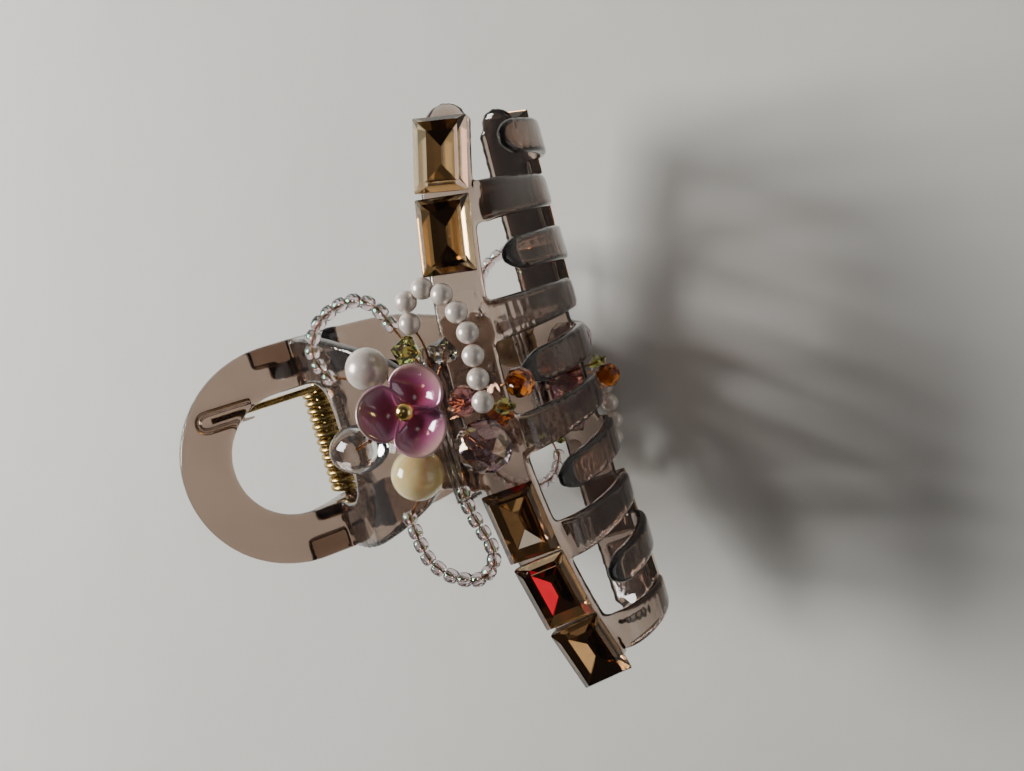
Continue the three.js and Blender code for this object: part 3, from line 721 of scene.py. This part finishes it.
# %% Place the beads
EYE_PLACE = FLOWER_PLACE + FLOWER_FACING * EYE_HEIGHT
BEADS = [
    # name, shape, middle, radii, hole axis, material, slot
    ("flower_centre", "round", EYE_PLACE, (1.7, 1.7, 1.7), (0, -1, 0), GOLD, "gold_metal"),
    ("large_pearl", "round", (14.1, -29.2, -30.9), (4, 4, 4), (0.6, 0, 1), PEARL, "pearl"),
    ("clear_drop", "round", (-0.1, -28.1, -23.5), (4.7, 4.1, 6.2), (0, 0, 1), CLEAR, "clear_glass"),
    ("yellow_bead", "round", (-6.8, -30.8, -35.5), (4.9, 4.9, 4.9), (1, 0, 0.3), MILKY, "yellow_glass"),
    ("purple_drop", "cut", (-4.6, -30, -49.6), (5.1, 4.9, 5.1), (-0.5, 0, -1), PURPLE,
     "purple_glass"),
    ("rose_bead", "cut", (3.9, -28.5, -47.6), (3, 3, 3), (0, 0.4, 1), ROSE, "rose_glass"),
    ("green_bead", "bicone", (15.3, -29.8, -40.1), (3, 3, 3), (1, 0.2, -0.4), GREEN, "green_glass"),
    ("small_green_bead", "bicone", (1.4, -28.6, -54.9), (1.9, 1.9, 2.2), (0.3, 0, 1), GREEN,
     "green_glass"),
    ("clear_bead", "bicone", (13.5, -28.2, -46.4), (2.9, 2.9, 2.9), (0.5, 0.1, 1), CLEAR,
     "clear_glass"),
    ("amber_front_bead", "cut", (4.4, -24.8, -57.6), (2.8, 2.8, 2.8), (1, 0, 0), AMBER, "amber_glass"),
    ("amber_rear_bead", "cut", (-1.4, -18.4, -48), (2.8, 2.8, 2.8), (1, 0.3, 0), AMBER, "amber_glass"),
]


def bead_mesh(shape, place, radii, axis):
    if shape == "round":
        return round_bead(place, radii, axis)
    if shape == "bicone":
        return cut_bead(place, radii, axis, BICONE, 6)
    return cut_bead(place, radii, axis, ROUND_CUT, 9)


for jaw in JAWS:
    for name, shape, place, radii, axis, material, slot in BEADS:
        mesh = bead_mesh(shape, place, radii, axis)
        finish_piece(f"{jaw}_{name}_shaped", mesh, jaw, [material], slot, [f"{jaw}_{name}"],
                     smooth=shape == "round")
print("beads", len(BEADS) * len(JAWS))

# %% [markdown]
# ## Geometry Nodes for wires and strings of beads
# Three kinds of tree do everything that follows a path. The first sweeps a round wire along it.
# The second sweeps two wires that twist round each other. The third threads beads at an even
# spacing, and is made once for pearls and once for seed beads. Each tree has named inputs for
# its sizes, and ends in Realize Instances and Set Material.

# %% Geometry Nodes helpers
class Tree:
    def __init__(self, title, sizes):
        self.group = bpy.data.node_groups.new(title, "GeometryNodeTree")
        self.group.interface.new_socket("Path", in_out="INPUT", socket_type="NodeSocketGeometry")
        self.inputs = {}
        kinds = {size: "NodeSocketFloat" for size in sizes} | {"Material": "NodeSocketMaterial"}
        for name, kind in kinds.items():
            socket = self.group.interface.new_socket(name, in_out="INPUT", socket_type=kind)
            self.inputs[name] = socket.identifier
        self.group.interface.new_socket("Piece", in_out="OUTPUT", socket_type="NodeSocketGeometry")
        self.start = self.group.nodes.new("NodeGroupInput")

    def named(self, name):
        return self.start.outputs[name]

    def add(self, kind, sockets=None, out=0, **settings):
        node = self.group.nodes.new(kind)
        for key, value in settings.items():
            setattr(node, key, value)
        for key, value in (sockets or {}).items():
            links = value if isinstance(value, list) else [value]
            for item in links:
                if isinstance(item, bpy.types.NodeSocket):
                    self.group.links.new(item, node.inputs[key])
                else:
                    node.inputs[key].default_value = item
        return node.outputs[out]

    def maths(self, operation, first, second):
        return self.add("ShaderNodeMath", {0: first, 1: second}, operation=operation)

    def finish(self, geometry):
        real = self.add("GeometryNodeRealizeInstances", {0: geometry})
        dressed = self.add("GeometryNodeSetMaterial", {
            "Geometry": real, "Material": self.named("Material")})
        end = self.group.nodes.new("NodeGroupOutput")
        self.group.links.new(dressed, end.inputs[0])
        return self


def run_tree(tree, points, sizes, material):
    """A mesh from a tree run on an open path of points, all in metres in the frame."""
    path = bpy.data.meshes.new("path")
    path.from_pydata([tuple(p) for p in points], [(k, k + 1) for k in range(len(points) - 1)], [])
    holder = new_object("path", path, [])
    modifier = holder.modifiers.new("nodes", "NODES")
    modifier.node_group = tree.group
    for size, value in sizes.items():
        modifier[tree.inputs[size]] = value
    modifier[tree.inputs["Material"]] = material
    return evaluated_mesh(holder)


# %% The trees
def wire_tree():
    tree = Tree("wire", ["Radius"])
    curve = tree.add("GeometryNodeMeshToCurve", {0: tree.named("Path")})
    ring = tree.add("GeometryNodeCurvePrimitiveCircle", {
        "Radius": tree.named("Radius"), "Resolution": 12})
    tube = tree.add("GeometryNodeCurveToMesh", {
        "Curve": curve, "Profile Curve": ring, "Fill Caps": True})
    return tree.finish(tube)


def twist_tree():
    tree = Tree("twisted_pair", ["Radius", "Lay"])
    curve = tree.add("GeometryNodeMeshToCurve", {0: tree.named("Path")})
    length = tree.add("GeometryNodeSplineParameter", out="Length")
    turns = tree.maths("DIVIDE", length, tree.named("Lay"))
    normal = tree.add("GeometryNodeInputNormal")
    tangent = tree.add("GeometryNodeInputTangent")
    side = tree.add("ShaderNodeVectorMath", {0: tangent, 1: normal}, operation="CROSS_PRODUCT")
    ring = tree.add("GeometryNodeCurvePrimitiveCircle", {
        "Radius": tree.named("Radius"), "Resolution": 8})
    strands = []
    for phase in (0.0, math.pi):
        angle = tree.add("ShaderNodeMath", {0: turns, 1: math.tau, 2: phase}, operation="MULTIPLY_ADD")
        first = tree.maths("MULTIPLY", tree.maths("COSINE", angle, 0.0), tree.named("Radius"))
        second = tree.maths("MULTIPLY", tree.maths("SINE", angle, 0.0), tree.named("Radius"))
        one = tree.add("ShaderNodeVectorMath", {0: normal, "Scale": first}, operation="SCALE")
        two = tree.add("ShaderNodeVectorMath", {0: side, "Scale": second}, operation="SCALE")
        both = tree.add("ShaderNodeVectorMath", {0: one, 1: two}, operation="ADD")
        moved = tree.add("GeometryNodeSetPosition", {"Geometry": curve, "Offset": both})
        strands.append(tree.add("GeometryNodeCurveToMesh", {
            "Curve": moved, "Profile Curve": ring, "Fill Caps": True}))
    return tree.finish(tree.add("GeometryNodeJoinGeometry", {0: strands}))


def string_tree(name, make_bead):
    tree = Tree(name, ["Spacing", "Bead Radius"])
    curve = tree.add("GeometryNodeMeshToCurve", {0: tree.named("Path")})
    spots = tree.add("GeometryNodeResampleCurve", {"Curve": curve, "Length": tree.named("Spacing")},
                     mode="LENGTH")
    tangent = tree.add("GeometryNodeInputTangent")
    turn = tree.add("FunctionNodeAlignRotationToVector", {"Vector": tangent}, axis="Z")
    threaded = tree.add("GeometryNodeInstanceOnPoints", {
        "Points": spots, "Instance": make_bead(tree), "Rotation": turn})
    return tree.finish(threaded)


def pearl_shape(tree):
    ball = tree.add("GeometryNodeMeshUVSphere", {
        "Segments": 20, "Rings": 12, "Radius": tree.named("Bead Radius")})
    return tree.add("GeometryNodeSetShadeSmooth", {0: ball})


def seed_shape(tree):
    """A short barrel with a hole: a thick ring stretched along its axis."""
    hoop = tree.add("GeometryNodeCurvePrimitiveCircle", {
        "Radius": tree.maths("MULTIPLY", tree.named("Bead Radius"), 0.64), "Resolution": 16})
    section = tree.add("GeometryNodeCurvePrimitiveCircle", {
        "Radius": tree.maths("MULTIPLY", tree.named("Bead Radius"), 0.36), "Resolution": 10})
    barrel = tree.add("GeometryNodeCurveToMesh", {"Curve": hoop, "Profile Curve": section})
    return tree.add("GeometryNodeTransform", {"Geometry": barrel, "Scale": (1.0, 1.0, 2.4)})


WIRE_TREE = wire_tree()
TWIST_TREE = twist_tree()
PEARL_TREE = string_tree("pearl_string", pearl_shape)
SEED_TREE = string_tree("seed_string", seed_shape)
print("trees", [group.name for group in bpy.data.node_groups])


# %% [markdown]
# ## Bead loops
# Each jaw has one loop of pearls and two of clear seed beads. The loops stand out of the
# cluster on stiff wire. The route is a smooth curve through a few points, and the tree threads
# the beads along it.

# %% Loops
def smooth_route(points, steps=14):
    """A Catmull-Rom curve through points, as a dense list of points."""
    stops = [Vector(p) for p in points]
    stops = [2 * stops[0] - stops[1]] + stops + [2 * stops[-1] - stops[-2]]
    route = []
    for a, b, c, d in zip(stops, stops[1:], stops[2:], stops[3:]):
        for step in range(steps):
            t = step / steps
            route.append(0.5 * ((2 * b) + (c - a) * t + (2 * a - 5 * b + 4 * c - d) * t ** 2
                                + (3 * b - a - 3 * c + d) * t ** 3))
    route.append(stops[-2])
    return route


LOOP_WIRE_RADIUS = 0.2
# Each loop's tree, bead radius, spacing, material, slot and the points of its route.
LOOPS = {
    "pearl_loop": (PEARL_TREE, 2.0, 4.05, PEARL, "pearl", [
        (20, -31.2, -43.2), (23.4, -31.6, -43.6), (25.2, -31.5, -46.4), (24.5, -31.5, -50),
        (20.7, -31.8, -52.4), (16.8, -32, -53.8), (12.2, -32.4, -53.8), (7.8, -32.8, -53.6),
        (3.6, -33.2, -53.4)]),
    "short_seed_loop": (SEED_TREE, 1.4, 2.75, SEED, "seed_bead", [
        (14.4, -30, -23.2), (17.4, -30, -21.6), (20.3, -30, -21.4), (23.2, -30, -23),
        (25.2, -30, -25.4), (26.5, -30, -29), (26.8, -30, -32.2), (26, -30, -35),
        (23.8, -30, -37.4), (20.8, -30, -38.8)]),
    "long_seed_loop": (SEED_TREE, 1.4, 2.75, SEED, "seed_bead", [
        (-14.7, -30, -30.7), (-18, -30, -31), (-21, -30, -31.4), (-24, -30, -32.4),
        (-26.8, -30, -35.2), (-28.3, -30, -38.6), (-28.3, -30, -41.8), (-26, -30, -44.6),
        (-22.6, -30, -45.2), (-19.2, -30, -44.2), (-15.6, -30, -43.2), (-12, -30, -43)]),
}

for jaw in JAWS:
    for name, (tree, radius, spacing, material, slot, stops) in LOOPS.items():
        route = [JAWS[jaw] @ point for point in smooth_route(stops)]
        sizes = {"Spacing": spacing * MM, "Bead Radius": radius * MM}
        mesh = run_tree(tree, route, sizes, material)
        finish_piece(f"{jaw}_{name}_beads", mesh, jaw, [material], slot, [f"{jaw}_{name}"], laid=True)
        wire = run_tree(WIRE_TREE, route, {"Radius": LOOP_WIRE_RADIUS * MM}, COPPER)
        finish_piece(f"{jaw}_{name}_wire", wire, jaw, [COPPER], "spring_metal", [], laid=True)
        print(jaw, name, "faces", len(mesh.polygons))

# %% [markdown]
# ## Binding wire
# Fine wire is wound round the neck to hold the cluster. It is a twisted pair, so the twisting
# tree sweeps it along the turns.

# %% Binding wire
NECK_ARC_Y, NECK_ARC_Z, NECK_ARC_RADIUS = 21.7, -39.2, 47.0


def neck_face(z):
    """Y of the neck's outer face at a height, on its arc."""
    return NECK_ARC_Y - math.sqrt(NECK_ARC_RADIUS ** 2 - (z - NECK_ARC_Z) ** 2)


BINDING_STRAND, BINDING_LAY = 0.2, 1.8
BINDING_HALF_WIDTH, BINDING_HALF_DEPTH, BINDING_INSET = 14.6, 2.4, 1.5
# One turn round the neck, as parts of those half sizes: along X, then outwards.
BINDING_TURN = [(1, 0), (1, 0.6), (0.96, 1), (0.5, 1), (-0.5, 1), (-0.96, 1), (-1, 0.6),
                (-1, 0), (-1, -0.6), (-0.96, -1), (-0.5, -1), (0.5, -1), (0.96, -1), (1, -0.6)]


def binding_route(turns=3, bottom=-42.3, rise=1.1):
    stops = []
    for step in range(len(BINDING_TURN) * turns + 1):
        side, out = BINDING_TURN[step % len(BINDING_TURN)]
        z = bottom + rise * step / len(BINDING_TURN)
        middle = neck_face(z) + BINDING_INSET
        stops.append(Vector((BINDING_HALF_WIDTH * side, middle + BINDING_HALF_DEPTH * out, z)))
    return smooth_route(stops, 6)


for jaw in JAWS:
    route = [JAWS[jaw] @ point for point in binding_route()]
    twist = {"Radius": BINDING_STRAND * MM, "Lay": BINDING_LAY * MM}
    mesh = run_tree(TWIST_TREE, route, twist, SILVER)
    finish_piece(f"{jaw}_binding", mesh, jaw, [SILVER], "spring_metal", [f"{jaw}_binding_wire"],
                 laid=True)
print("binding faces", len(mesh.polygons))

# %% [markdown]
# ## Wire stalks
# The beads are held by short stalks of twisted wire that start inside a bead and end round the
# neck or the bar. They are what makes the cluster stand off the plastic. Each stalk is a curve
# with a small bend, swept by the twisting tree.

# %% Stalks
STALK_STRAND, STALK_LAY = 0.17, 1.5
STALK_BEND = Vector((0.5, 0.4, -0.5))
# A bead below the first height hangs off the bar's front, and one behind the second Y off its back.
HANGS_BELOW, HANGS_BEHIND = -56.0, -20.0
FOOT_DOWN_BAR, FOOT_ON_FRONT, FOOT_ON_BACK, FOOT_OFF_NECK = 4.2, 0.25, -2.6, 0.2
# The stretch of the neck that takes the other feet. They gather towards its middle.
FEET_TOP, FEET_BOTTOM, FEET_HALF_WIDTH = -24.0, -42.5, 10.5


def stalk_foot(place):
    """Where a stalk meets the neck, or the lower edge of the bar for a bead that hangs there."""
    below = place.z < HANGS_BELOW
    if below or place.y > HANGS_BEHIND:
        foot = bar_face(place.x) - BAR_UP * FOOT_DOWN_BAR
        return foot + BAR_OUT * (FOOT_ON_FRONT if below else FOOT_ON_BACK)
    z = min(FEET_TOP, max(FEET_BOTTOM, place.z * 0.72 - 10.5))
    x = max(-FEET_HALF_WIDTH, min(FEET_HALF_WIDTH, place.x * 0.7))
    return Vector((x, neck_face(z) - FOOT_OFF_NECK, z))


def stalk_routes():
    starts = [FLOWER_PLACE] + [Vector(bead[2]) for bead in BEADS[1:]]
    for _, _, _, _, _, stops in LOOPS.values():
        starts += [Vector(stops[0]), Vector(stops[-1])]
    for start in starts:
        foot = stalk_foot(start)
        bend = start.lerp(foot, 0.5) + STALK_BEND
        yield smooth_route([start, bend, foot], 8)


def stalks_mesh(jaw):
    bm = bmesh.new()
    for route in stalk_routes():
        points = [JAWS[jaw] @ point for point in route]
        twist = {"Radius": STALK_STRAND * MM, "Lay": STALK_LAY * MM}
        one = run_tree(TWIST_TREE, points, twist, COPPER)
        bm.from_mesh(one)
        bpy.data.meshes.remove(one)
    return to_mesh(bm, "stalks")


for jaw in JAWS:
    stalks = stalks_mesh(jaw)
    finish_piece(f"{jaw}_stalks", stalks, jaw, [COPPER], "spring_metal", [], laid=True)
print("stalk faces", len(stalks.polygons))

# %% [markdown]
# ## Torsion spring and pin
# The spring is one brass wire: a leg under each handle and a coil on the pin between them. Its
# coil winds up as the clip opens.

# %% Spring
LEAN = math.radians(46)
HANDLE_UP = Vector((0, -math.sin(LEAN), math.cos(LEAN)))
HANDLE_OUT = Vector((0, -math.cos(LEAN), -math.sin(LEAN)))
COIL_RADIUS, WIRE_RADIUS, PITCH, TURNS = 3.0, 0.72, 1.78, 13
COIL_LENGTH = PITCH * TURNS
COIL_END_GAP = 0.4
# The leg from its tip to the coil: how far up the handle, and how far out from its plane.
LEG_TIP, LEG_STANDOFF = 24.28, 3.53
LEG = [(LEG_TIP, LEG_STANDOFF), (12.0, LEG_STANDOFF), (6.5, LEG_STANDOFF), (2.5, 3.1),
       (0.0, COIL_RADIUS)]


def leg_points(x, leg):
    return [Vector((x, 0, 0)) + HANDLE_UP * up + HANDLE_OUT * out for up, out in leg]


def spring_route():
    """The whole wire: the front jaw's leg, the coil, and the back jaw's leg."""
    end = COIL_LENGTH / 2
    wound = 2 * math.pi * TURNS + math.pi - 2 * LEAN
    coil = []
    steps = TURNS * 20
    for step in range(1, steps):
        angle = -wound * step / steps
        coil.append(Vector((end - (COIL_LENGTH + COIL_END_GAP) * step / steps, 0, 0))
                    + HANDLE_OUT * (COIL_RADIUS * math.cos(angle))
                    + HANDLE_UP * (COIL_RADIUS * math.sin(angle)))
    flip = Matrix.Rotation(math.pi, 4, "Z")
    back_leg = [flip @ point for point in leg_points(end + COIL_END_GAP, LEG[::-1])]
    return smooth_route(leg_points(end, LEG), 6)[:-1] + coil + smooth_route(back_leg, 6)


route = [WORN @ point for point in spring_route()]
mesh = run_tree(WIRE_TREE, route, {"Radius": WIRE_RADIUS * MM}, BRASS)
shade(mesh, True)
spring = new_object("torsion_spring", mesh, [BRASS])
ends = [WORN @ Vector((side * COIL_LENGTH / 2, 0, 0)) for side in (-1, 1)]
tuple(ends[0])
tuple(ends[1])
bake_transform(spring)
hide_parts("spring_coil", "spring_back_leg")
print("spring faces", len(mesh.polygons))


# %% Pin
PIN_RADIUS, PIN_CHAMFER, PIN_SIDES = 1.1, 0.3, 24


def pin_mesh():
    low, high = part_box("hinge_pin")
    half = (high[0] - low[0]) / 2 / MM
    shank = half - PIN_CHAMFER
    rings = []
    for x, radius in ((-half, PIN_RADIUS - PIN_CHAMFER), (-shank, PIN_RADIUS),
                      (shank, PIN_RADIUS), (half, PIN_RADIUS - PIN_CHAMFER)):
        rings.append([(x, across, up) for across, up, _ in circle(radius, 0.0, PIN_SIDES)])
    return to_mesh(from_rings(rings), "pin")


finish_piece("pin_turned", pin_mesh(), "back", [BRASS], "spring_metal", ["hinge_pin"])
print("pin done")

# %% [markdown]
# ## Floor and light
# A pale matt floor, one soft window light on the side of the handles, a weak light overhead and
# a low pale card on the side of the teeth. The surround is pale at the horizon, like white walls,
# and dim overhead. The window gives the long soft shadow, and the dim ceiling gives clear plastic
# its dark edges.

# %% Stage
FLOOR_HALF, FLOOR_DROP = 3.0, 0.0002


def add_floor():
    bm = bmesh.new()
    corners = [bm.verts.new((x * FLOOR_HALF, y * FLOOR_HALF, -FLOOR_DROP))
               for x, y in ((-1, -1), (1, -1), (1, 1), (-1, 1))]
    bm.faces.new(corners)
    finish = Finish("floor_paper")
    tone = finish.ramp(finish.noise(6.0, 3.0), [(0.3, (0.60, 0.60, 0.565)),
                                                (0.7, (0.66, 0.66, 0.625))])
    material = finish.surface(Base_Color=tone, Roughness=0.75,
                              Normal=finish.bump(finish.noise(18.0, 3.0), 0.25, 0.004))
    new_object("floor", to_mesh(bm, "floor"), [material])


def add_light(name, direction, distance, size, power, colour):
    data = bpy.data.lights.new(name, "AREA")
    data.shape = "SQUARE"
    data.size = size
    data.energy = power
    data.color = colour
    lamp = bpy.data.objects.new(name, data)
    aim = Vector((0.0, 0.0, 0.03))
    lamp.location = aim + Vector(direction).normalized() * distance
    lamp.rotation_mode = "QUATERNION"
    lamp.rotation_quaternion = (lamp.location - aim).to_track_quat("Z", "Y")
    collection.objects.link(lamp)


HORIZON, CEILING = (0.02, (0.42, 0.41, 0.395)), (0.40, (0.04, 0.041, 0.044))


def add_surround():
    """A world that goes from the horizon's colour to the ceiling's with height."""
    world = bpy.data.worlds.new("surround")
    world.use_nodes = True
    tree = world.node_tree
    direction = tree.nodes.new("ShaderNodeTexCoord")
    height = tree.nodes.new("ShaderNodeSeparateXYZ")
    band = tree.nodes.new("ShaderNodeValToRGB")
    for element, (place, colour) in zip(band.color_ramp.elements, (HORIZON, CEILING)):
        element.position = place
        element.color = (*colour, 1.0)
    tree.links.new(direction.outputs["Generated"], height.inputs[0])
    tree.links.new(height.outputs["Z"], band.inputs[0])
    tree.links.new(band.outputs[0], tree.nodes["Background"].inputs["Color"])
    bpy.context.scene.world = world


add_floor()
add_light("window", (0.37, 0.755, 0.60), 0.9, 0.40, 16.2, (1.0, 0.985, 0.955))
add_light("overhead", (0.35, -0.35, 1.0), 1.1, 0.30, 0.25, (0.97, 0.98, 1.0))
add_light("card", (-0.30, -1.0, 0.14), 0.9, 0.6, 1.0, (1.0, 0.98, 0.96))
add_surround()
print("stage ready")
